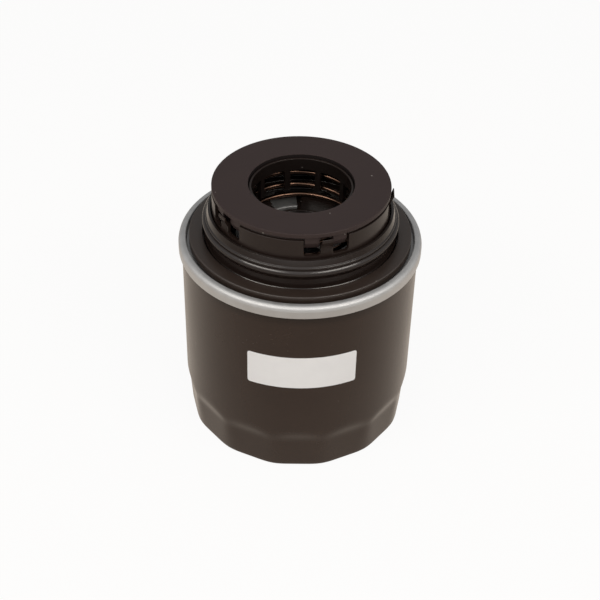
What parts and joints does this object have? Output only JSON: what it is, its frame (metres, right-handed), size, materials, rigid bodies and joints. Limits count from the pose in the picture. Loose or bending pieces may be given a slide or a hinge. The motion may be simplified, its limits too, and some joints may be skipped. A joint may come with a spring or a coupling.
{
  "type": "spin-on oil filter",
  "caption": "Spin-on engine oil filter: painted can with wrench flats, rolled zinc seam, flat gasket and a spring-loaded sealing neck that slides down into its collar.",
  "frame": {"origin": "centre of the closed end's base, on the filter's axis", "axes": "+Z along the axis from the closed end to the neck, -Y towards the pictured front"},
  "size_m": [0.0782, 0.0782, 0.0882],
  "materials": {
    "can_paint": "satin dark brown paint",
    "zinc_steel": "bright zinc plate",
    "plate_steel": "plain stamped steel",
    "gasket_rubber": "oiled black rubber",
    "collar_plastic": "satin moulded nylon",
    "o_ring_rubber": "black rubber",
    "sleeve_plastic": "satin moulded nylon",
    "ring_plastic": "matt moulded face",
    "spring_wire": "bronze-toned spring wire",
    "valve_rubber": "red-brown silicone rubber",
    "cap_steel": "plain steel",
    "tube_steel": "plain steel",
    "pleat_paper": "resin-treated filter paper",
    "clip_steel": "plain steel",
    "bypass_steel": "plain steel",
    "leaf_steel": "blue-grey spring steel"
  },
  "bodies": {
    "filter_body": {"can": "can_paint", "seaming_lid": "zinc_steel", "threaded_plate": "plate_steel", "flange_gasket": "gasket_rubber", "neck_collar": "collar_plastic", "neck_o_ring": "o_ring_rubber", "seal_spring": "spring_wire", "anti_drain_valve": "valve_rubber", "upper_end_cap": "cap_steel", "lower_end_cap": "cap_steel", "centre_tube": "tube_steel", "pleated_media": "pleat_paper", "pleat_seam_clip": "clip_steel", "bypass_cage": "bypass_steel", "bypass_spring": "bypass_steel", "element_spring": "leaf_steel"},
    "seal_piston": {"valve_sleeve": "sleeve_plastic", "sealing_ring": "ring_plastic"},
    "bypass_plunger": {"bypass_poppet": "bypass_steel", "bypass_seal": "o_ring_rubber"}
  },
  "joints": [
    {"name": "seal_slide", "type": "slide", "parent": "filter_body", "child": "seal_piston", "axis": [0, 0, -1], "range_m": [0, 0.003], "stiffness_N_per_m": 1500, "springref_m": -0.008, "deforming": ["seal_spring"]},
    {"name": "bypass_lift", "type": "slide", "parent": "filter_body", "child": "bypass_plunger", "axis": [0, 0, 1], "range_m": [0, 0.0025], "stiffness_N_per_m": 1200, "springref_m": -0.006, "deforming": ["bypass_spring"]}
  ]
}
